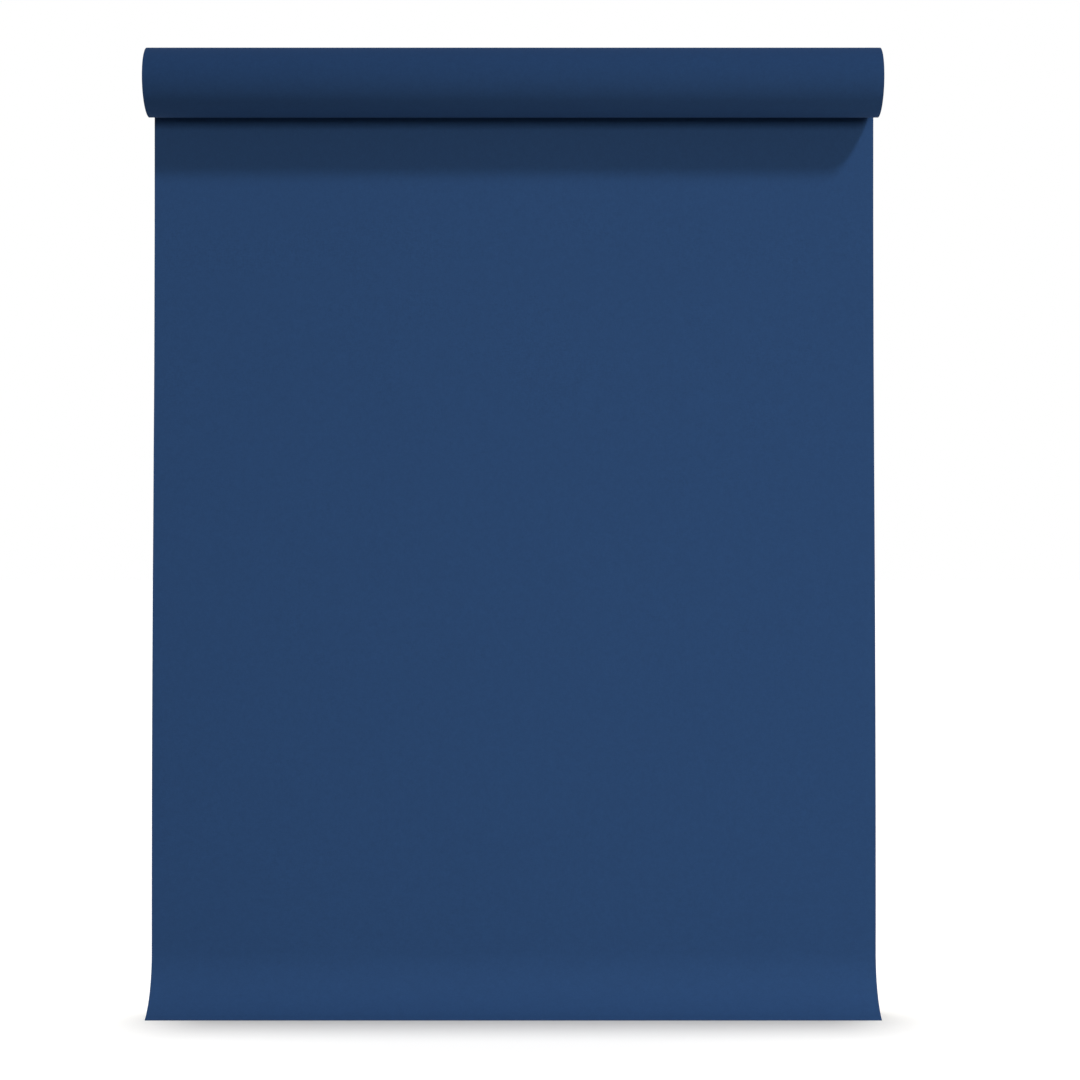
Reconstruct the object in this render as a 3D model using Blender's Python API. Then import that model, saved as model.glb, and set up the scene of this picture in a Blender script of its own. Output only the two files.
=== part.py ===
"""Seamless backdrop paper on its core, with the sheet let down behind the roll.

X runs along the roll's axis, -Y points to the set in front of the sheet, and +Z is up.
The origin is on the axis at mid-width. All sizes are in metres and all angles in radians.
"""
import math

import bmesh
import bpy

# Paper web
WEB_WIDTH = 0.660
ROLL_RADIUS = 0.031
PAPER_THICKNESS = 0.00018
SHEET_LENGTH = 0.8575
LEAD_LENGTH = 0.075
CURL_ANGLE = 1.20
CURL_LENGTH = 0.070
CURL_POWER = 1.15
LEAN_ANGLE = 0.036
TUCK_ANGLE = math.radians(14.0)

# Core, from the bore outwards
BORE_RADIUS = 0.016
LINER_THICKNESS = 0.0006
BODY_THICKNESS = 0.0018
FACE_THICKNESS = 0.0005
LINER_PITCH = 0.090
FACE_PITCH = 0.110

# Tape that fixes the start of the web to the core
TAPE_THICKNESS = 0.00015
TAPE_WIDTH = 0.050
TAPE_ARC = math.radians(85.0)
TAPE_PLACES = (-0.250, 0.0, 0.250)

# Label inside the core
LABEL_THICKNESS = 0.0002
LABEL_START = 0.225
LABEL_END = 0.280
LABEL_ARC = math.radians(80.0)

# Plugs in the core's ends
PLUG_HOLE_RADIUS = 0.01325
PLUG_WALL = 0.0015
PLUG_LENGTH = 0.030
PLUG_END_THICKNESS = 0.002
PLUG_RECESS = 0.0005
PLUG_LEAD_IN = 0.002
PLUG_LEAD_IN_DEPTH = 0.0006
PLUG_SLIT_LENGTH = 0.018
PLUG_SLIT_WIDTH = 0.002

# Clearance between neighbours, and how finely round shapes are divided
GAP = 0.0003
PACK_GAP = 0.00035
ROLL_FACETS = 96
CORE_FACETS = 48
PLY_FACETS = 36
SHEET_STEPS = 24
LEAD_STEPS = 28
SHARP_ANGLE = math.radians(35.0)

HALF_WIDTH = WEB_WIDTH / 2.0
FULL_TURN = 2.0 * math.pi

# Radii that follow from the stack of plies
LINER_OUTER = BORE_RADIUS + LINER_THICKNESS
BODY_INNER = LINER_OUTER + GAP
BODY_OUTER = BODY_INNER + BODY_THICKNESS
FACE_INNER = BODY_OUTER + GAP
FACE_OUTER = FACE_INNER + FACE_THICKNESS
TAPE_INNER = FACE_OUTER + GAP
TAPE_OUTER = TAPE_INNER + TAPE_THICKNESS
PACK_INNER = TAPE_OUTER + PACK_GAP
TURN_INNER = ROLL_RADIUS - PAPER_THICKNESS
PACK_OUTER = TURN_INNER - GAP
SHEET_BACK_Y = ROLL_RADIUS - PAPER_THICKNESS / 2.0


def clear_scene():
    for item in list(bpy.data.objects):
        bpy.data.objects.remove(item, do_unlink=True)


def make_material(name, color, roughness):
    material = bpy.data.materials.new(name)
    material.use_nodes = True
    shader = material.node_tree.nodes["Principled BSDF"]
    shader.inputs["Base Color"].default_value = (*color, 1.0)
    shader.inputs["Roughness"].default_value = roughness
    shader.inputs["Metallic"].default_value = 0.0
    return material


def make_empty(name, location=(0.0, 0.0, 0.0)):
    empty = bpy.data.objects.new(name, None)
    empty.location = location
    bpy.context.collection.objects.link(empty)
    return empty


def make_object(name, bm, material, parent=None):
    bmesh.ops.recalc_face_normals(bm, faces=bm.faces)
    mesh = bpy.data.meshes.new(name)
    bm.to_mesh(mesh)
    bm.free()
    mesh.materials.append(material)
    mesh.shade_smooth()
    mesh.set_sharp_from_angle(angle=SHARP_ANGLE)
    item = bpy.data.objects.new(name, mesh)
    item.parent = parent
    bpy.context.collection.objects.link(item)
    return item


def loft(sections, closed=False):
    """Join sections, each a loop of as many points, into one closed skin."""
    bm = bmesh.new()
    rings = [[bm.verts.new(point) for point in section] for section in sections]
    pairs = list(zip(rings, rings[1:]))
    if closed:
        pairs.append((rings[-1], rings[0]))
    else:
        bm.faces.new(rings[0])
        bm.faces.new(rings[-1])
    for ring, following in pairs:
        for index, vertex in enumerate(ring):
            after = (index + 1) % len(ring)
            bm.faces.new((vertex, ring[after], following[after], following[index]))
    return bm


def round_section(profile, angle):
    """Turn a profile of (x, radius) points about the X axis; angle 0 is at the back."""
    return [(x, radius * math.cos(angle), radius * math.sin(angle)) for x, radius in profile]


def box_profile(start, end, inner, outer):
    return [(start, inner), (end, inner), (end, outer), (start, outer)]


def turned(profile, facets):
    """A profile turned all the way round the X axis."""
    return loft([round_section(profile, FULL_TURN * step / facets) for step in range(facets)], closed=True)


def wrapped(profile, start_angle, end_angle, facets):
    """A profile turned part of the way round the X axis."""
    steps = max(2, round(facets * (end_angle - start_angle) / FULL_TURN))
    angles = [start_angle + (end_angle - start_angle) * step / steps for step in range(steps + 1)]
    return loft([round_section(profile, angle) for angle in angles])


def helical_ply(inner, outer, pitch, hand):
    """A strip wound edge to edge on a helix, its two ends trimmed square to the axis."""
    strip = pitch - GAP
    tip = pitch / PLY_FACETS
    turns = (WEB_WIDTH + strip - 2.0 * tip) / pitch
    sections = []
    for step in range(int(turns * PLY_FACETS) + 1):
        low_edge = -HALF_WIDTH - strip + tip + pitch * step / PLY_FACETS
        start = max(low_edge, -HALF_WIDTH)
        end = min(low_edge + strip, HALF_WIDTH)
        angle = hand * FULL_TURN * step / PLY_FACETS
        sections.append(round_section(box_profile(start, end, inner, outer), angle))
    return loft(sections)


def sheet_lean(height):
    """The sheet's lean forwards from vertical, at a distance along it from the free edge."""
    curl = CURL_ANGLE * max(0.0, 1.0 - height / CURL_LENGTH) ** CURL_POWER
    share = max(0.0, (height - LEAD_LENGTH) / (SHEET_LENGTH - LEAD_LENGTH))
    return curl + LEAN_ANGLE * math.sin(math.pi * share) ** 2


def sheet_line(heights):
    """Points (y, z, lean) down the sheet's middle, for distances along it from the free edge."""
    fine_step = 0.0005
    points = []
    y, z, height = SHEET_BACK_Y, 0.0, SHEET_LENGTH
    for target in heights:
        steps = max(1, math.ceil((height - target) / fine_step))
        step = (height - target) / steps
        for _ in range(steps):
            lean = sheet_lean(height - step / 2.0)
            y -= step * math.sin(lean)
            z -= step * math.cos(lean)
            height -= step
        points.append((y, z, sheet_lean(height)))
    return points


def sheet_solid(heights, origin_y):
    """A stretch of the sheet with the paper's thickness, measured from its own origin."""
    sections = []
    for y, z, lean in sheet_line(heights):
        across_y = math.cos(lean) * PAPER_THICKNESS / 2.0
        across_z = math.sin(lean) * PAPER_THICKNESS / 2.0
        front = (y - across_y - origin_y, z + across_z)
        back = (y + across_y - origin_y, z - across_z)
        ends = ((-HALF_WIDTH, front), (HALF_WIDTH, front), (HALF_WIDTH, back), (-HALF_WIDTH, back))
        sections.append([(x, point[0], point[1]) for x, point in ends])
    return loft(sections)


def build_core(kraft, board, parent):
    make_object("core_liner", helical_ply(BORE_RADIUS, LINER_OUTER, LINER_PITCH, 1.0), kraft, parent)
    body = box_profile(-HALF_WIDTH, HALF_WIDTH, BODY_INNER, BODY_OUTER)
    make_object("core_body", turned(body, CORE_FACETS), board, parent)
    make_object("core_face", helical_ply(FACE_INNER, FACE_OUTER, FACE_PITCH, -1.0), kraft, parent)


def build_tape(material, parent):
    for number, place in enumerate(TAPE_PLACES, start=1):
        profile = box_profile(place - TAPE_WIDTH / 2.0, place + TAPE_WIDTH / 2.0, TAPE_INNER, TAPE_OUTER)
        strip = wrapped(profile, 0.0, TAPE_ARC, ROLL_FACETS)
        make_object(f"start_tape_{number}", strip, material, parent)


def build_label(material, parent):
    outer = BORE_RADIUS - GAP
    profile = box_profile(LABEL_START, LABEL_END, outer - LABEL_THICKNESS, outer)
    start = -math.pi / 2.0 - LABEL_ARC / 2.0
    make_object("core_label", wrapped(profile, start, start + LABEL_ARC, ROLL_FACETS), material, parent)


def plug_profile():
    """The plug's wall and end ring; x is 0 at its outer face and negative into the core."""
    outer = BORE_RADIUS - GAP
    inner = outer - PLUG_WALL
    return [
        (0.0, PLUG_HOLE_RADIUS),
        (0.0, outer),
        (PLUG_LEAD_IN - PLUG_LENGTH, outer),
        (-PLUG_LENGTH, outer - PLUG_LEAD_IN_DEPTH),
        (-PLUG_LENGTH, inner),
        (-PLUG_END_THICKNESS, inner),
        (-PLUG_END_THICKNESS, PLUG_HOLE_RADIUS),
    ]


def slit_cutter(plug, name, turn):
    """A flat block that cuts two opposite slits into the plug's inner end."""
    bm = bmesh.new()
    bmesh.ops.create_cube(bm, size=1.0)
    length = PLUG_SLIT_LENGTH + GAP
    bmesh.ops.scale(bm, verts=bm.verts, vec=(length, 4.0 * BORE_RADIUS, PLUG_SLIT_WIDTH))
    bmesh.ops.translate(bm, verts=bm.verts, vec=(length / 2.0 - PLUG_LENGTH - GAP, 0.0, 0.0))
    cutter = make_object(name, bm, plug.data.materials[0], plug)
    cutter.rotation_euler.x = turn
    cutter.hide_render = True
    cutter.display_type = "WIRE"
    cut = plug.modifiers.new(name, "BOOLEAN")
    cut.operation = "DIFFERENCE"
    cut.solver = "EXACT"
    cut.object = cutter


def build_plugs(material):
    for side, sign in (("left", -1.0), ("right", 1.0)):
        plug = make_object(f"core_plug_{side}", turned(plug_profile(), CORE_FACETS), material)
        plug.location.x = sign * (HALF_WIDTH - PLUG_RECESS)
        if sign < 0.0:
            plug.rotation_euler.z = math.pi
        for number, turn in enumerate((math.pi / 4.0, -math.pi / 4.0), start=1):
            slit_cutter(plug, f"slit_{side}_{number}", turn)


def build_wound_paper(material, parent):
    pack = box_profile(-HALF_WIDTH, HALF_WIDTH, PACK_INNER, PACK_OUTER)
    make_object("wound_paper", turned(pack, ROLL_FACETS), material, parent)


def build_web(material):
    """The outermost turn, the hanging sheet and the curled leading edge."""
    turn = box_profile(-HALF_WIDTH, HALF_WIDTH, TURN_INNER, ROLL_RADIUS)
    first_angle = GAP / ROLL_RADIUS
    make_object("outer_turn", wrapped(turn, first_angle, FULL_TURN - TUCK_ANGLE, ROLL_FACETS), material)

    tangent = make_empty("sheet_tangent", (0.0, SHEET_BACK_Y, 0.0))
    drop = SHEET_LENGTH - LEAD_LENGTH - GAP
    panel = [SHEET_LENGTH - drop * step / SHEET_STEPS for step in range(SHEET_STEPS + 1)]
    make_object("hanging_sheet", sheet_solid(panel, SHEET_BACK_Y), material, tangent)
    lead = [LEAD_LENGTH * (1.0 - step / LEAD_STEPS) for step in range(LEAD_STEPS + 1)]
    make_object("lead_edge", sheet_solid(lead, SHEET_BACK_Y), material, tangent)


def build():
    clear_scene()
    blue_paper = make_material("blue_paper", (0.030, 0.075, 0.165), 0.9)
    kraft = make_material("kraft_ply", (0.40, 0.27, 0.16), 0.85)
    board = make_material("grey_board", (0.33, 0.28, 0.22), 0.9)
    tape = make_material("paper_tape", (0.62, 0.52, 0.36), 0.6)
    label = make_material("blank_label", (0.80, 0.79, 0.75), 0.7)
    plastic = make_material("black_plastic", (0.02, 0.02, 0.022), 0.45)

    roll_axis = make_empty("roll_axis")
    build_core(kraft, board, roll_axis)
    build_tape(tape, roll_axis)
    build_label(label, roll_axis)
    build_wound_paper(blue_paper, roll_axis)
    build_plugs(plastic)
    build_web(blue_paper)


build()
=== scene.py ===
"""Backdrop paper roll: the finished look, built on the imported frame.

X runs along the roll's axis, -Y points to the set in front of the sheet, +Z is up; metres and radians.
"""
import math

import bmesh
import bpy
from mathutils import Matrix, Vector, noise

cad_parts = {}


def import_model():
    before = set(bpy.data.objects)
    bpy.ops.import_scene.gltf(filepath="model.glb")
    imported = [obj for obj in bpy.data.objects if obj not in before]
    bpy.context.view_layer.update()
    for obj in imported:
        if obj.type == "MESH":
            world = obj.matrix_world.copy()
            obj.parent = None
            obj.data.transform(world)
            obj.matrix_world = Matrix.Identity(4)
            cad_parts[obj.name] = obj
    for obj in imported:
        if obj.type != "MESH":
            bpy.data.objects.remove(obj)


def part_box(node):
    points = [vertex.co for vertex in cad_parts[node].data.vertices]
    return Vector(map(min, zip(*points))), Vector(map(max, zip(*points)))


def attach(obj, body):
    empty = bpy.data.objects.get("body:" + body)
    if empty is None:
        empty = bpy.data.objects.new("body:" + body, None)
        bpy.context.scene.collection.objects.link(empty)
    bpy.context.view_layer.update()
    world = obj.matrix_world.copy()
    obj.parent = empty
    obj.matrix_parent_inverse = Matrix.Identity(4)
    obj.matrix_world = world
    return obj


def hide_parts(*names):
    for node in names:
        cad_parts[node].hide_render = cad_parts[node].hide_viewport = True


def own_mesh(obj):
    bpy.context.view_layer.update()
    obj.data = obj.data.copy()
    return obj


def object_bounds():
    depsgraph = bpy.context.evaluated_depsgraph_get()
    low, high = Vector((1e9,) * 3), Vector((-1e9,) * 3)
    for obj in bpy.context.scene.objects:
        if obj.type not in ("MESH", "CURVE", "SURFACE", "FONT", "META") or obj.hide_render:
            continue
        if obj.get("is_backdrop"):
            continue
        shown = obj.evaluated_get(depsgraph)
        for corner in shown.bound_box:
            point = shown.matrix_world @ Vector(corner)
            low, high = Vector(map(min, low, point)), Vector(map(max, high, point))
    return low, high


FULL_TURN = 2.0 * math.pi

# The web: one continuous sheet of paper, the same line as its plain solids follow
PAPER_THICKNESS = 0.00018
SHEET_LENGTH = 0.8575
LEAD_LENGTH = 0.075
CURL_ANGLE = 1.20
CURL_LENGTH = 0.070
CURL_POWER = 1.15
LEAN_ANGLE = 0.036
SEAM_GAP = 0.00002
LINE_STEP = 0.0005
TUCK_ANGLE = math.radians(40.0)
TURN_PITCH = 1.12 * PAPER_THICKNESS
WEB_COLUMNS = 44
TURN_STEPS = 176
SHEET_STEPS = 150
LEAD_STEPS = 44

# Gentle ripples that any hanging sheet has
RIPPLE_WIDE = 0.0006
RIPPLE_FINE = 0.0002
RIPPLE_EDGE = 0.0003
RIPPLE_START = 0.16
RIPPLE_EDGE_POWER = 8

# Roll ends and core; the telescoping changes fast from turn to turn and slowly round each turn
ROUND_STEPS = 96
TURN_RIDGE = 0.00005
TELESCOPE = 0.00028
TELESCOPE_CHANGE = 260.0
TELESCOPE_SWAY = 0.7
PACK_CLOSING = 0.00006
BORE_RADIUS = 0.016
LINER_THICKNESS = 0.0006
LINER_PITCH = 0.090
LINER_SEAM = 0.00025
LINER_GAP = 0.00002
CORE_PLIES = 7
PLY_GROOVE = 0.00006
PLY_STEP = 0.00010
PLY_EDGE = 0.04
PLY_FACE = 0.18

# Tape that starts the paper on the core, and the label stuck in the bore
TAPE_THICKNESS = 0.00015
TAPE_ARC = math.radians(85.0)
TAPE_TOOTH = 0.0005
LABEL_THICKNESS = 0.0002
LABEL_ARC = math.radians(80.0)
LABEL_CORNER = 0.004
STRIP_ROWS = 28
STRIP_COLUMNS = 50

# Core plugs
PLUG_HOLE_RADIUS = 0.01325
PLUG_WALL = 0.0015
PLUG_END_THICKNESS = 0.002
PLUG_EDGE = 0.00035
PLUG_MOUTH_EDGE = 0.0002
PLUG_LEAD_IN = 0.002
PLUG_LEAD_IN_DEPTH = 0.0006
PLUG_SLIT_LENGTH = 0.018
PLUG_SLIT_WIDTH = 0.002
PLUG_SLIT_TURNS = (math.pi / 4.0, -math.pi / 4.0)
PLUG_GRIPS = 18
PLUG_GRIP_DEPTH = 0.0005

# Angles past which an edge between faces stays sharp
SHARP_EDGE = math.radians(40.0)
SHARP_PACK = math.radians(75.0)
SHARP_CORE = math.radians(60.0)
SHARP_PLUG = math.radians(35.0)

# Colours
BLUE = (0.0190, 0.0530, 0.1340)
BLUE_DARK = (0.0181, 0.0507, 0.1285)
KRAFT = (0.42, 0.29, 0.17)
KRAFT_DARK = (0.30, 0.19, 0.10)
BOARD = (0.38, 0.30, 0.21)
BOARD_DARK = (0.25, 0.19, 0.13)
LABEL = (0.82, 0.81, 0.78)
LABEL_DARK = (0.76, 0.75, 0.71)
PLASTIC = (0.018, 0.018, 0.020)
TAPE = (0.62, 0.52, 0.36)
FLECK = (0.62, 0.55, 0.48)
CLOUD = (0.88, 0.87, 0.85)
WHITE = (1.0, 1.0, 1.0)

# How shiny each surface is, and how deep its grain
PAPER_SPECULAR = 0.12
KRAFT_SPECULAR = 0.35
BOARD_SPECULAR = 0.2
LABEL_SPECULAR = 0.4
PLASTIC_SPECULAR = 0.5
TAPE_SPECULAR = 0.4
TAPE_ROUGHNESS = 0.6
FLOOR_ROUGHNESS = 0.9
NOISE_ROUGHNESS = 0.6
FORMATION_DEPTH = 0.00006
TOOTH_DEPTH = 0.00010
KRAFT_DEPTH = 0.00006
FLECK_DEPTH = 0.00002
SPARK_DEPTH = 0.00002
CREPE_DEPTH = 0.00004

# Camera and light
CAMERA_PLACE = (0.0239, -1.88, -0.4131)
CAMERA_LENS = 69.36
SENSOR_WIDTH = 36.0
KEY_DIRECTION = Vector((0.50, -0.576, 0.648)).normalized()
KEY_AIM = Vector((0.0, 0.0, -0.25))
KEY_DISTANCE = 6.0
KEY_SIZE = 0.68
KEY_POWER = 226.0
KEY_COLOR = (0.76, 0.88, 1.0)
FILL_PLACE = Vector((1.8, -4.6, 0.19))
FILL_AIM = Vector((0.0, 0.0, -0.4))
FILL_SIZE = (2.4, 1.3)
FILL_POWER = 142.0
FILL_COLOR = (1.0, 0.95, 0.90)
ROLL_FILL_PLACE = Vector((0.4, -0.95, -0.8))
ROLL_FILL_AIM = Vector((0.0, 0.0, 0.0))
ROLL_FILL_SIZE = (1.2, 0.5)
ROLL_FILL_POWER = 11.0
LOW_FILL_PLACE = Vector((0.9, -1.3, -0.78))
LOW_FILL_AIM = Vector((-0.1, 0.0, -0.8))
LOW_FILL_SIZE = (0.8, 0.1)
LOW_FILL_POWER = 0.40
LOW_FILL_SPREAD = math.radians(65.0)
FLOOR_SUN_STRENGTH = 2.2
FLOOR_SUN_ANGLE = math.radians(7.5)
FLOOR_SUN_TILT = math.radians(1.0)
FLOOR_SUN_SIDE = math.radians(-0.4)
FLOOR_GLOW = 0.22
FLOOR_GLOW_COLOR = (1.0, 0.95, 0.85, 1.0)
FLOOR_SIZE = 40.0
FLOOR_COLOR = (0.9, 0.9, 0.9, 1.0)
WORLD_SEEN = 1.0
WORLD_FRONT = 0.14
WORLD_BACK = 0.60
WORLD_CHANGE = 0.2


# ---------------------------------------------------------------- node helpers

def add_node(tree, kind, settings=None, **inputs):
    """A shader node with its settings, and its inputs set to values or linked to sockets."""
    node = tree.nodes.new(kind)
    for name, value in (settings or {}).items():
        setattr(node, name, value)
    for name, value in inputs.items():
        set_input(tree, node, name.replace("_", " "), value)
    return node


def set_input(tree, node, key, value):
    """Link a socket to an input, or set the input to a value."""
    if isinstance(value, bpy.types.NodeSocket):
        tree.links.new(value, node.inputs[key])
    else:
        node.inputs[key].default_value = value


def new_material(name, specular):
    """A material with its node tree and shader."""
    material = bpy.data.materials.new(name)
    material.use_nodes = True
    shader = material.node_tree.nodes["Principled BSDF"]
    shader.inputs["Specular IOR Level"].default_value = specular
    shader.inputs["Metallic"].default_value = 0.0
    return material, material.node_tree, shader


def object_place(tree):
    return add_node(tree, "ShaderNodeTexCoord").outputs["Object"]


def grain(tree, vector, scale, detail, stretch=(1.0, 1.0, 1.0)):
    """Noise from 0 to 1, with features longer along each axis that is stretched by less than 1."""
    mapped = add_node(tree, "ShaderNodeMapping", Vector=vector, Scale=stretch)
    texture = add_node(
        tree,
        "ShaderNodeTexNoise",
        Vector=mapped.outputs["Vector"],
        Scale=scale,
        Detail=detail,
        Roughness=NOISE_ROUGHNESS,
    )
    return texture.outputs["Fac"]


def ramp(tree, factor, stops):
    """A colour that follows a factor through (position, colour) stops."""
    node = add_node(tree, "ShaderNodeValToRGB", Fac=factor)
    elements = node.color_ramp.elements
    while len(elements) < len(stops):
        elements.new(0.5)
    for element, (position, color) in zip(elements, stops):
        element.position = position
        element.color = (*color, 1.0)
    return node.outputs["Color"]


def multiply_colors(tree, first, second):
    """The product of two colours; inputs 0, 6 and 7 are the colour mix's factor and colours."""
    node = add_node(tree, "ShaderNodeMix", {"data_type": "RGBA", "blend_type": "MULTIPLY"})
    for index, value in ((0, 1.0), (6, first), (7, second)):
        set_input(tree, node, index, value)
    return node.outputs[2]


def math_node(tree, operation, first, second):
    node = add_node(tree, "ShaderNodeMath", {"operation": operation})
    for index, value in enumerate((first, second)):
        set_input(tree, node, index, value)
    return node.outputs[0]


def map_range(tree, value, low, high):
    """A value from 0 to 1 moved into the range from low to high."""
    node = add_node(tree, "ShaderNodeMapRange", Value=value)
    node.inputs["To Min"].default_value = low
    node.inputs["To Max"].default_value = high
    return node.outputs["Result"]


def bump(tree, shader, layers):
    """Stack of (height, distance, strength) bumps feeding the shader's normal."""
    normal = None
    for height, distance, strength in layers:
        node = add_node(tree, "ShaderNodeBump", Height=height, Distance=distance, Strength=strength)
        if normal is not None:
            tree.links.new(normal, node.inputs["Normal"])
        normal = node.outputs["Normal"]
    tree.links.new(normal, shader.inputs["Normal"])


# ---------------------------------------------------------------- materials

def paper_material(name, base, dark):
    """Matte dyed seamless paper: cloudy formation, short fibres and a faint tooth."""
    material, tree, shader = new_material(name, PAPER_SPECULAR)
    place = object_place(tree)
    clouds = grain(tree, place, scale=9.0, detail=4.0)
    formation = grain(tree, place, scale=160.0, detail=3.0)
    fibres = grain(tree, place, scale=900.0, detail=4.0, stretch=(1.0, 1.0, 0.35))
    cross_fibres = grain(tree, place, scale=1100.0, detail=3.0, stretch=(0.3, 1.0, 1.0))
    lighter = tuple(channel * 1.05 for channel in base)
    tone = ramp(tree, formation, ((0.28, dark), (0.52, base), (0.78, lighter)))
    cloud_tone = map_range(tree, clouds, low=0.985, high=1.015)
    crossed = math_node(tree, "MULTIPLY", math_node(tree, "ADD", fibres, cross_fibres), 0.5)
    fibre_tone = map_range(tree, crossed, low=0.76, high=1.30)
    shade = math_node(tree, "MULTIPLY", cloud_tone, fibre_tone)
    shade_node = add_node(tree, "ShaderNodeCombineColor", Red=shade, Green=shade, Blue=shade)
    color = multiply_colors(tree, tone, shade_node.outputs["Color"])
    set_input(tree, shader, "Base Color", color)
    set_input(tree, shader, "Roughness", map_range(tree, formation, low=0.84, high=0.95))
    bump(tree, shader, ((formation, FORMATION_DEPTH, 0.5), (crossed, TOOTH_DEPTH, 0.8)))
    return material


def kraft_material(name, light, dark, specular):
    """Brown kraft board: long fibres, flecks and a slight calendered gloss."""
    material, tree, shader = new_material(name, specular)
    place = object_place(tree)
    fibres = grain(tree, place, scale=420.0, detail=6.0, stretch=(0.18, 1.0, 1.0))
    clouds = grain(tree, place, scale=60.0, detail=4.0)
    flecks = grain(tree, place, scale=1500.0, detail=2.0, stretch=(0.5, 1.0, 1.0))
    tone = ramp(tree, fibres, ((0.30, dark), (0.70, light)))
    fleck_tone = ramp(tree, flecks, ((0.62, WHITE), (0.74, FLECK)))
    cloud_tone = ramp(tree, clouds, ((0.25, CLOUD), (0.75, WHITE)))
    flecked = multiply_colors(tree, tone, fleck_tone)
    set_input(tree, shader, "Base Color", multiply_colors(tree, flecked, cloud_tone))
    set_input(tree, shader, "Roughness", map_range(tree, fibres, low=0.66, high=0.86))
    bump(tree, shader, ((fibres, KRAFT_DEPTH, 0.5), (flecks, FLECK_DEPTH, 0.3)))
    return material


def plastic_material(name, color):
    """Moulded polythene: fine spark texture and a few scuffs."""
    material, tree, shader = new_material(name, PLASTIC_SPECULAR)
    place = object_place(tree)
    spark = grain(tree, place, scale=2400.0, detail=2.0)
    scuffs = grain(tree, place, scale=260.0, detail=5.0, stretch=(0.2, 1.0, 1.0))
    worn = tuple(channel * 1.9 for channel in color)
    set_input(tree, shader, "Base Color", ramp(tree, scuffs, ((0.45, color), (0.75, worn))))
    set_input(tree, shader, "Roughness", map_range(tree, scuffs, low=0.36, high=0.6))
    bump(tree, shader, ((spark, SPARK_DEPTH, 0.4),))
    return material


def tape_material(name, color):
    """Paper tape: crepe ridges across its length."""
    material, tree, shader = new_material(name, TAPE_SPECULAR)
    crepe = grain(tree, object_place(tree), scale=1300.0, detail=3.0, stretch=(0.15, 1.0, 1.0))
    darker = tuple(channel * 0.85 for channel in color)
    set_input(tree, shader, "Base Color", ramp(tree, crepe, ((0.3, darker), (0.7, color))))
    set_input(tree, shader, "Roughness", TAPE_ROUGHNESS)
    bump(tree, shader, ((crepe, CREPE_DEPTH, 0.5),))
    return material


# ---------------------------------------------------------------- mesh helpers

def finish_mesh(name, bm, material, sharp_angle=SHARP_EDGE):
    """An object in the scene, smooth but for its sharp edges."""
    bmesh.ops.recalc_face_normals(bm, faces=bm.faces)
    mesh = bpy.data.meshes.new(name)
    bm.to_mesh(mesh)
    bm.free()
    mesh.materials.append(material)
    mesh.shade_smooth()
    mesh.set_sharp_from_angle(angle=sharp_angle)
    piece = bpy.data.objects.new(name, mesh)
    bpy.context.scene.collection.objects.link(piece)
    return piece


def add_rings(bm, sections):
    return [[bm.verts.new(point) for point in section] for section in sections]


def join_rings(bm, pairs):
    """Quads between each pair of rings."""
    for ring, following in pairs:
        for index, vertex in enumerate(ring):
            after = (index + 1) % len(ring)
            bm.faces.new((vertex, ring[after], following[after], following[index]))


def loft(sections, closed=False):
    """Join sections, each a loop of as many points, into one closed skin."""
    bm = bmesh.new()
    rings = add_rings(bm, sections)
    pairs = list(zip(rings, rings[1:]))
    if closed:
        pairs.append((rings[-1], rings[0]))
    else:
        bm.faces.new(rings[0])
        bm.faces.new(rings[-1])
    join_rings(bm, pairs)
    return bm


def turned_point(x, radius, angle):
    """A point at an angle round the roll's axis, from +Y towards +Z."""
    return (x, radius * math.cos(angle), radius * math.sin(angle))


def paper_solid(line, half_width, offset):
    """The web's thickness along a line of (y, z, normal_y, normal_z, height) across its width."""
    sections = []
    xs = [half_width * (2.0 * column / WEB_COLUMNS - 1.0) for column in range(WEB_COLUMNS + 1)]
    for y, z, normal_y, normal_z, height in line:
        section = []
        for side, row in ((1.0, xs), (-1.0, reversed(xs))):
            for x in row:
                out = side * PAPER_THICKNESS / 2.0 + offset(x, height)
                section.append((x, y + normal_y * out, z + normal_z * out))
        sections.append(section)
    return sections


def strip_mesh(sections):
    """Like loft, with each end closed by a row of quads across the thickness."""
    bm = bmesh.new()
    rings = add_rings(bm, sections)
    join_rings(bm, zip(rings, rings[1:]))
    for ring in (rings[0], rings[-1]):
        for index in range(len(ring) // 2 - 1):
            opposite = len(ring) - 1 - index
            bm.faces.new((ring[index], ring[index + 1], ring[opposite - 1], ring[opposite]))
    return bm


# ---------------------------------------------------------------- the web

def smooth_step(value):
    """From 0 to 1 with a soft start and end."""
    value = min(1.0, max(0.0, value))
    return value * value * (3.0 - 2.0 * value)


def sheet_lean(height):
    """The sheet's lean forwards from vertical, at a distance along it from the free edge."""
    curl = CURL_ANGLE * max(0.0, 1.0 - height / CURL_LENGTH) ** CURL_POWER
    share = max(0.0, (height - LEAD_LENGTH) / (SHEET_LENGTH - LEAD_LENGTH))
    return curl + LEAN_ANGLE * math.sin(math.pi * share) ** 2


def sheet_line(top_y, heights):
    """(y, z, normal_y, normal_z, height) down the sheet; the normal points back."""
    points = []
    y = top_y
    z = 0.0
    height = SHEET_LENGTH
    for target in heights:
        steps = max(1, math.ceil((height - target) / LINE_STEP))
        step = (height - target) / steps
        for _ in range(steps):
            lean = sheet_lean(height - step / 2.0)
            y -= step * math.sin(lean)
            z -= step * math.cos(lean)
            height -= step
        lean = sheet_lean(height)
        points.append((y, z, math.cos(lean), -math.sin(lean), height))
    return points


def wave(across, along, seed):
    """Smooth noise over the sheet, about -1 to 1."""
    return noise.noise(Vector((across, along, seed)))


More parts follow.
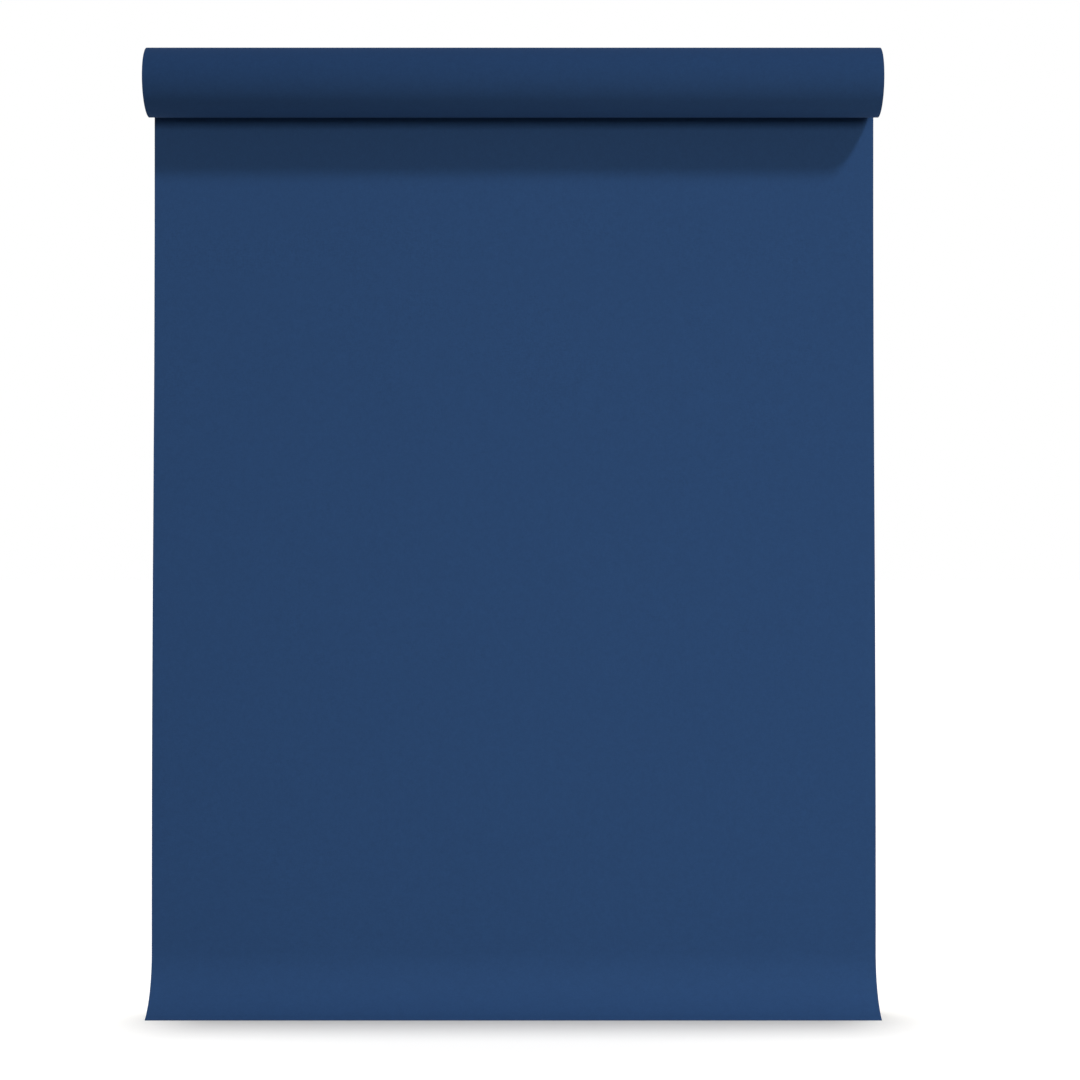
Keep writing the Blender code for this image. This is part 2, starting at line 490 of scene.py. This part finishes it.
def ripple(half_width):
    """Gentle waves, none at the roll or at the free edge, a little more along the cut sides."""
    def offset(x, height):
        below_roll = smooth_step((SHEET_LENGTH - height) / RIPPLE_START)
        above_edge = smooth_step(height / CURL_LENGTH)
        wide = RIPPLE_WIDE * wave(across=x * 3.2, along=height * 2.1, seed=4.7)
        fine = RIPPLE_FINE * wave(across=x * 11.0, along=height * 6.0, seed=17.3)
        near_side = (abs(x) / half_width) ** RIPPLE_EDGE_POWER
        side = math.copysign(5.0, x)
        edge = RIPPLE_EDGE * near_side * wave(across=side, along=height * 14.0, seed=2.0)
        return below_roll * above_edge * (wide + fine + edge)
    return offset


def turn_line(outer_radius):
    """The outermost turn from the top of the sheet, round the roll once and tucked under itself."""
    points = []
    total = FULL_TURN + TUCK_ANGLE
    for step in range(TURN_STEPS + 1):
        angle = total * step / TURN_STEPS
        radius = outer_radius - PAPER_THICKNESS / 2.0 - TURN_PITCH * angle / FULL_TURN
        normal_y = math.cos(angle)
        normal_z = math.sin(angle)
        points.append((radius * normal_y, radius * normal_z, normal_y, normal_z, 0.0))
    return points


def web_piece(name, material, sections, body, node):
    """One stretch of the web, which rides on a body and stands for a plain node."""
    piece = finish_mesh(name, strip_mesh(sections), material)
    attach(piece, body)
    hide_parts(node)
    return piece


def build_turn(material, half_width, outer_radius):
    """The outermost turn, drawn tight, so it has no waves."""
    sections = paper_solid(turn_line(outer_radius), half_width, lambda x, height: 0.0)
    turn = web_piece("web_turn", material, sections, "web", "outer_turn")
    return turn


def build_hanging_sheet(material, half_width, top_y):
    """The sheet from the roll to the lead edge; it shortens by the whole lift when wound up."""
    drop = SHEET_LENGTH - LEAD_LENGTH - SEAM_GAP
    heights = [SHEET_LENGTH - drop * step / SHEET_STEPS for step in range(SHEET_STEPS + 1)]
    line = sheet_line(top_y, heights)
    sections = paper_solid(line, half_width, ripple(half_width))
    sheet = web_piece("web_sheet", material, sections, "web", "hanging_sheet")
    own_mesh(sheet)


def build_lead_edge(material, half_width, top_y):
    """The last stretch of the sheet, down to its curled free edge."""
    heights = [LEAD_LENGTH * (1.0 - step / LEAD_STEPS) for step in range(LEAD_STEPS + 1)]
    sections = paper_solid(sheet_line(top_y, heights), half_width, ripple(half_width))
    lead = web_piece("web_lead", material, sections, "lead", "lead_edge")


def telescope_shift(radius, angle, side):
    """How far the pack's end is out of line at a place on it; side is -1 at the left, 1 at the right."""
    across = math.cos(angle) * TELESCOPE_SWAY + side * 9.0
    up = math.sin(angle) * TELESCOPE_SWAY
    return TELESCOPE * noise.noise(Vector((radius * TELESCOPE_CHANGE, across, up)))


def build_paper_turns(material, half_width, inner_radius, outer_radius):
    """The wound turns: every turn's cut edge is a ridge, and the pack is a little telescoped."""
    turns = round((outer_radius - inner_radius) / PAPER_THICKNESS)
    rings = 2 * turns + 1
    sections = []
    for step in range(ROUND_STEPS):
        angle = FULL_TURN * step / ROUND_STEPS
        section = []
        for side in (-1.0, 1.0):
            order = range(rings) if side < 0.0 else reversed(range(rings))
            for ring in order:
                radius = inner_radius + (outer_radius - inner_radius) * ring / (rings - 1)
                ridge = TURN_RIDGE * (1.0 if ring % 2 else -1.0)
                shift = telescope_shift(radius, angle, side)
                x = side * (half_width - TELESCOPE + shift + ridge)
                section.append(turned_point(x, radius, angle))
        sections.append(section)
    piece = finish_mesh("paper_turns", loft(sections, closed=True), material, SHARP_PACK)
    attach(piece, "roll")
    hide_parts("wound_paper")


# ---------------------------------------------------------------- the core

def ply_profile(half_width, inner_radius, outer_radius, side):
    """(x, radius) points outwards over one cut end of the core: a flat and a groove for each ply."""
    ply = (outer_radius - inner_radius) / CORE_PLIES
    profile = []
    for number in range(CORE_PLIES):
        start = inner_radius + number * ply
        cut = PLY_STEP * noise.noise(Vector((number * 3.7, side * 5.0, 1.5)))
        face = half_width - PLY_STEP + cut
        profile.append((side * (face - PLY_GROOVE), start + ply * PLY_EDGE))
        profile.append((side * face, start + ply * PLY_FACE))
        profile.append((side * face, start + ply * (1.0 - PLY_FACE)))
        profile.append((side * (face - PLY_GROOVE), start + ply * (1.0 - PLY_EDGE)))
    return profile


def build_core_wall(material, half_width, inner_radius, outer_radius):
    """Laminated plies, each with its own slightly uneven cut edge and a groove to the next."""
    left = ply_profile(half_width, inner_radius, outer_radius, -1.0)
    right = ply_profile(half_width, inner_radius, outer_radius, 1.0)
    profile = left + right[::-1]
    sections = []
    for step in range(ROUND_STEPS):
        angle = FULL_TURN * step / ROUND_STEPS
        sections.append([turned_point(x, radius, angle) for x, radius in profile])
    piece = finish_mesh("core_wall", loft(sections, closed=True), material, SHARP_CORE)
    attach(piece, "roll")
    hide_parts("core_body", "core_face")


def build_core_lining(material, half_width):
    """The inner ply: one kraft strip on a helix, whose butt joint shows as a spiral seam in the bore."""
    outer = BORE_RADIUS + LINER_THICKNESS
    strip = LINER_PITCH - LINER_SEAM
    tip = LINER_PITCH / ROUND_STEPS
    turns = (2.0 * half_width + strip - 2.0 * tip) / LINER_PITCH
    sections = []
    for step in range(int(turns * ROUND_STEPS) + 1):
        low_edge = -half_width - strip + tip + LINER_PITCH * step / ROUND_STEPS
        start = max(low_edge, -half_width)
        end = min(low_edge + strip, half_width)
        angle = FULL_TURN * step / ROUND_STEPS
        corners = ((start, BORE_RADIUS), (end, BORE_RADIUS), (end, outer), (start, outer))
        sections.append([turned_point(x, radius, angle) for x, radius in corners])
    piece = finish_mesh("core_lining", loft(sections), material)
    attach(piece, "roll")
    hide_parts("core_liner")


def bent_strip(node, material, outer, thickness, start_angle, arc, trims):
    """A thin strip bent round the axis; trims say how much each column is cut back at both ends."""
    low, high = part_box(node)
    sections = []
    for column, trim in enumerate(trims):
        x = low.x + (high.x - low.x) * column / STRIP_COLUMNS
        cut = trim / outer
        span = arc - 2.0 * cut
        angles = [start_angle + cut + span * row / STRIP_ROWS for row in range(STRIP_ROWS + 1)]
        top = [turned_point(x, outer, angle) for angle in angles]
        bottom = [turned_point(x, outer - thickness, angle) for angle in reversed(angles)]
        sections.append(top + bottom)
    piece = finish_mesh(f"{node}_strip", strip_mesh(sections), material)
    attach(piece, "roll")
    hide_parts(node)
    return piece


def tape_teeth():
    """The saw-tooth cut of a tape dispenser, as a trim for each column."""
    return [TAPE_TOOTH * (column % 2) for column in range(STRIP_COLUMNS + 1)]


def label_corners(width):
    """Rounded corners, as a trim for each column by how far it is from the nearer side."""
    trims = []
    for column in range(STRIP_COLUMNS + 1):
        reach = width * min(column, STRIP_COLUMNS - column) / STRIP_COLUMNS
        from_corner = max(0.0, LABEL_CORNER - reach)
        trims.append(LABEL_CORNER - math.sqrt(LABEL_CORNER ** 2 - from_corner ** 2))
    return trims


def build_tapes(material):
    for number in (1, 2, 3):
        node = f"start_tape_{number}"
        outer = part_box(node)[1].y
        tape = bent_strip(node, material, outer, TAPE_THICKNESS, 0.0, TAPE_ARC, tape_teeth())


def build_label(material):
    """A blank label, centred on the bottom of the bore."""
    low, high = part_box("core_label")
    start = -(math.pi + LABEL_ARC) / 2.0
    trims = label_corners(high.x - low.x)
    label = bent_strip("core_label", material, -low.z, LABEL_THICKNESS, start, LABEL_ARC, trims)


def plug_sections(outer_radius, length):
    """The plug as if it were at the origin: x is 0 at its outer face and negative into the core."""
    inner = outer_radius - PLUG_WALL
    sections = []
    steps = 2 * ROUND_STEPS
    for step in range(steps):
        angle = FULL_TURN * step / steps
        grip = PLUG_GRIP_DEPTH * max(0.0, math.cos(PLUG_GRIPS * angle)) ** 2
        mouth = PLUG_HOLE_RADIUS + grip
        profile = (
            (-PLUG_EDGE, mouth),
            (0.0, mouth + PLUG_EDGE),
            (0.0, outer_radius - PLUG_EDGE),
            (-PLUG_EDGE, outer_radius),
            (PLUG_LEAD_IN - length, outer_radius),
            (-length, outer_radius - PLUG_LEAD_IN_DEPTH),
            (-length, inner),
            (-PLUG_END_THICKNESS - PLUG_EDGE, inner),
            (-PLUG_END_THICKNESS, inner - PLUG_EDGE),
            (-PLUG_END_THICKNESS, mouth + PLUG_MOUTH_EDGE),
            (-PLUG_END_THICKNESS + PLUG_MOUTH_EDGE, mouth),
        )
        sections.append([turned_point(x, radius, angle) for x, radius in profile])
    return sections


def slit_cutter(plug, length, turn):
    """A thin slab across the plug, which makes two slits opposite each other."""
    bm = bmesh.new()
    bmesh.ops.create_cube(bm, size=1.0)
    reach = PLUG_SLIT_LENGTH + PLUG_WALL
    bmesh.ops.scale(bm, verts=bm.verts, vec=(reach, 4.0 * BORE_RADIUS, PLUG_SLIT_WIDTH))
    bmesh.ops.translate(bm, verts=bm.verts, vec=(reach / 2.0 - length - PLUG_WALL, 0.0, 0.0))
    cutter = finish_mesh("slit_cutter", bm, plug.data.materials[0])
    cutter.rotation_euler.x = turn
    return cutter


def cut_slits(plug, length):
    """Four lengthwise slits that let the plug's inner end spring in."""
    cutters = [slit_cutter(plug, length, turn) for turn in PLUG_SLIT_TURNS]
    for cutter in cutters:
        cut = plug.modifiers.new("slit", "BOOLEAN")
        cut.operation = "DIFFERENCE"
        cut.solver = "EXACT"
        cut.object = cutter
    bpy.context.view_layer.update()
    evaluated = plug.evaluated_get(bpy.context.evaluated_depsgraph_get())
    mesh = bpy.data.meshes.new_from_object(evaluated)
    plug.modifiers.clear()
    plug.data = mesh
    mesh.shade_smooth()
    mesh.set_sharp_from_angle(angle=SHARP_PLUG)
    for cutter in cutters:
        bpy.data.objects.remove(cutter, do_unlink=True)


def build_plugs(material):
    for side, sign in (("left", -1.0), ("right", 1.0)):
        node = f"core_plug_{side}"
        low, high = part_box(node)
        outer_x = max(abs(low.x), abs(high.x))
        length = high.x - low.x
        sections = plug_sections(max(high.y, high.z), length)
        plug = finish_mesh(f"plug_{side}", loft(sections, closed=True), material)
        cut_slits(plug, length)
        if sign < 0.0:
            plug.rotation_euler.z = math.pi
        plug.location.x = sign * outer_x
        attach(plug, f"plug_{side}")
        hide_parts(node)


# ---------------------------------------------------------------- stage

def build_floor(height):
    """A plain pale floor that sends no light back to the object."""
    bm = bmesh.new()
    bmesh.ops.create_grid(bm, x_segments=1, y_segments=1, size=FLOOR_SIZE / 2.0)
    material, tree, shader = new_material("floor_white", 0.0)
    set_input(tree, shader, "Base Color", FLOOR_COLOR)
    set_input(tree, shader, "Roughness", FLOOR_ROUGHNESS)
    set_input(tree, shader, "Emission Color", FLOOR_GLOW_COLOR)
    set_input(tree, shader, "Emission Strength", FLOOR_GLOW)
    floor = finish_mesh("floor", bm, material)
    floor.location.z = height
    floor.visible_diffuse = False
    floor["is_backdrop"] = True
    return floor


def light_group(name, items, state):
    """A collection that limits a light to some objects, or keeps the light off them."""
    group = bpy.data.collections.new(name)
    for item in items:
        group.objects.link(item)
    for linked in group.collection_objects:
        linked.light_linking.link_state = state
    return group


def soft_box(name, place, aim, size, power, color, receivers, spread=math.pi):
    """A rectangular studio light, out of the camera's sight, which lights its receivers only."""
    data = bpy.data.lights.new(name, "AREA")
    data.shape = "RECTANGLE"
    data.size, data.size_y = size
    data.energy = power
    data.color = color
    data.spread = spread
    light = bpy.data.objects.new(name, data)
    light.location = place
    light.rotation_mode = "QUATERNION"
    light.rotation_quaternion = (place - aim).to_track_quat("Z", "Y")
    light.visible_camera = False
    light.light_linking.receiver_collection = receivers
    bpy.context.scene.collection.objects.link(light)


def build_floor_sun(floor):
    """A soft sun overhead for the floor alone, which gives the shadow under the free edge."""
    data = bpy.data.lights.new("floor_sun", "SUN")
    data.energy = FLOOR_SUN_STRENGTH
    data.angle = FLOOR_SUN_ANGLE
    sun = bpy.data.objects.new("floor_sun", data)
    sun.rotation_euler = (-FLOOR_SUN_TILT, FLOOR_SUN_SIDE, 0.0)
    sun.light_linking.receiver_collection = light_group("sun_receivers", [floor], "INCLUDE")
    bpy.context.scene.collection.objects.link(sun)


def build_lights(floor, turn):
    """A key from the upper right, fills from the front, and the floor's own sun."""
    all_but_floor = light_group("key_receivers", [floor], "EXCLUDE")
    soft_box(
        "key",
        place=KEY_AIM + KEY_DIRECTION * KEY_DISTANCE,
        aim=KEY_AIM,
        size=(KEY_SIZE, KEY_SIZE),
        power=KEY_POWER,
        color=KEY_COLOR,
        receivers=all_but_floor,
    )
    sheet_side = light_group("fill_receivers", [floor, turn], "EXCLUDE")
    soft_box(
        "fill",
        place=FILL_PLACE,
        aim=FILL_AIM,
        size=FILL_SIZE,
        power=FILL_POWER,
        color=FILL_COLOR,
        receivers=sheet_side,
    )
    soft_box(
        "low_fill",
        place=LOW_FILL_PLACE,
        aim=LOW_FILL_AIM,
        size=LOW_FILL_SIZE,
        power=LOW_FILL_POWER,
        color=KEY_COLOR,
        receivers=sheet_side,
        spread=LOW_FILL_SPREAD,
    )
    soft_box(
        "roll_fill",
        place=ROLL_FILL_PLACE,
        aim=ROLL_FILL_AIM,
        size=ROLL_FILL_SIZE,
        power=ROLL_FILL_POWER,
        color=FILL_COLOR,
        receivers=light_group("roll_fill_receivers", [turn], "INCLUDE"),
    )
    build_floor_sun(floor)


def build_world():
    """White all round to look at; as a light, brighter behind the sheet than in front of it."""
    world = bpy.data.worlds.new("studio")
    world.use_nodes = True
    tree = world.node_tree
    direction = add_node(tree, "ShaderNodeTexCoord").outputs["Generated"]
    depth = add_node(tree, "ShaderNodeSeparateXYZ", Vector=direction).outputs["Y"]
    lighting = add_node(tree, "ShaderNodeMapRange", Value=depth)
    set_input(tree, lighting, "From Min", -WORLD_CHANGE)
    set_input(tree, lighting, "From Max", WORLD_CHANGE)
    set_input(tree, lighting, "To Min", WORLD_FRONT)
    set_input(tree, lighting, "To Max", WORLD_BACK)
    seen = add_node(tree, "ShaderNodeLightPath").outputs["Is Camera Ray"]
    strength = add_node(tree, "ShaderNodeMix", Factor=seen)
    set_input(tree, strength, "A", lighting.outputs["Result"])
    set_input(tree, strength, "B", WORLD_SEEN)
    background = tree.nodes["Background"]
    set_input(tree, background, "Strength", strength.outputs["Result"])
    set_input(tree, background, "Color", (*WHITE, 1.0))
    bpy.context.scene.world = world
    bpy.context.scene.view_settings.view_transform = "Standard"


def build_camera():
    """Level, square to the sheet and at about the middle of its height."""
    data = bpy.data.cameras.new("camera")
    data.lens = CAMERA_LENS
    data.sensor_width = SENSOR_WIDTH
    camera = bpy.data.objects.new("camera", data)
    camera.location = CAMERA_PLACE
    camera.rotation_euler = (math.pi / 2.0, 0.0, 0.0)
    bpy.context.scene.collection.objects.link(camera)
    bpy.context.scene.camera = camera


def corners(bounds):
    """Bounds as plain lists."""
    return [list(bounds[0]), list(bounds[1])]


def build_paper(half_width):
    """All of the paper, wound and hanging; returns the outermost turn, which is lit on its own."""
    blue = paper_material("seamless_paper", BLUE, BLUE_DARK)
    pack_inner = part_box("start_tape_1")[1].y + PACK_CLOSING
    pack_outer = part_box("wound_paper")[1].z + PACK_CLOSING
    build_paper_turns(blue, half_width, pack_inner, pack_outer)

    low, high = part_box("outer_turn")
    outer_radius = (high.y - low.y) / 2.0
    top_y = outer_radius - PAPER_THICKNESS / 2.0
    turn = build_turn(blue, half_width, outer_radius)
    build_hanging_sheet(blue, half_width, top_y)
    build_lead_edge(blue, half_width, top_y)
    return turn


def build_core(half_width):
    kraft = kraft_material("kraft_lining", KRAFT, KRAFT_DARK, KRAFT_SPECULAR)
    board = kraft_material("core_board", BOARD, BOARD_DARK, BOARD_SPECULAR)
    wall_inner = BORE_RADIUS + LINER_THICKNESS + LINER_GAP
    build_core_wall(board, half_width, wall_inner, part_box("core_face")[1].z)
    build_core_lining(kraft, half_width)
    build_plugs(plastic_material("plug_plastic", PLASTIC))
    build_tapes(tape_material("start_tape", TAPE))
    build_label(kraft_material("label_paper", LABEL, LABEL_DARK, LABEL_SPECULAR))


def main():
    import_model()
    cad_box = corners(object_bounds())
    build_camera()

    half_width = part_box("outer_turn")[1].x
    turn = build_paper(half_width)
    build_core(half_width)

    floor = build_floor(cad_box[0][2])
    build_lights(floor, turn)
    build_world()
    bpy.context.view_layer.update()
    {"cad": cad_box, "visual": corners(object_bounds())}


main()
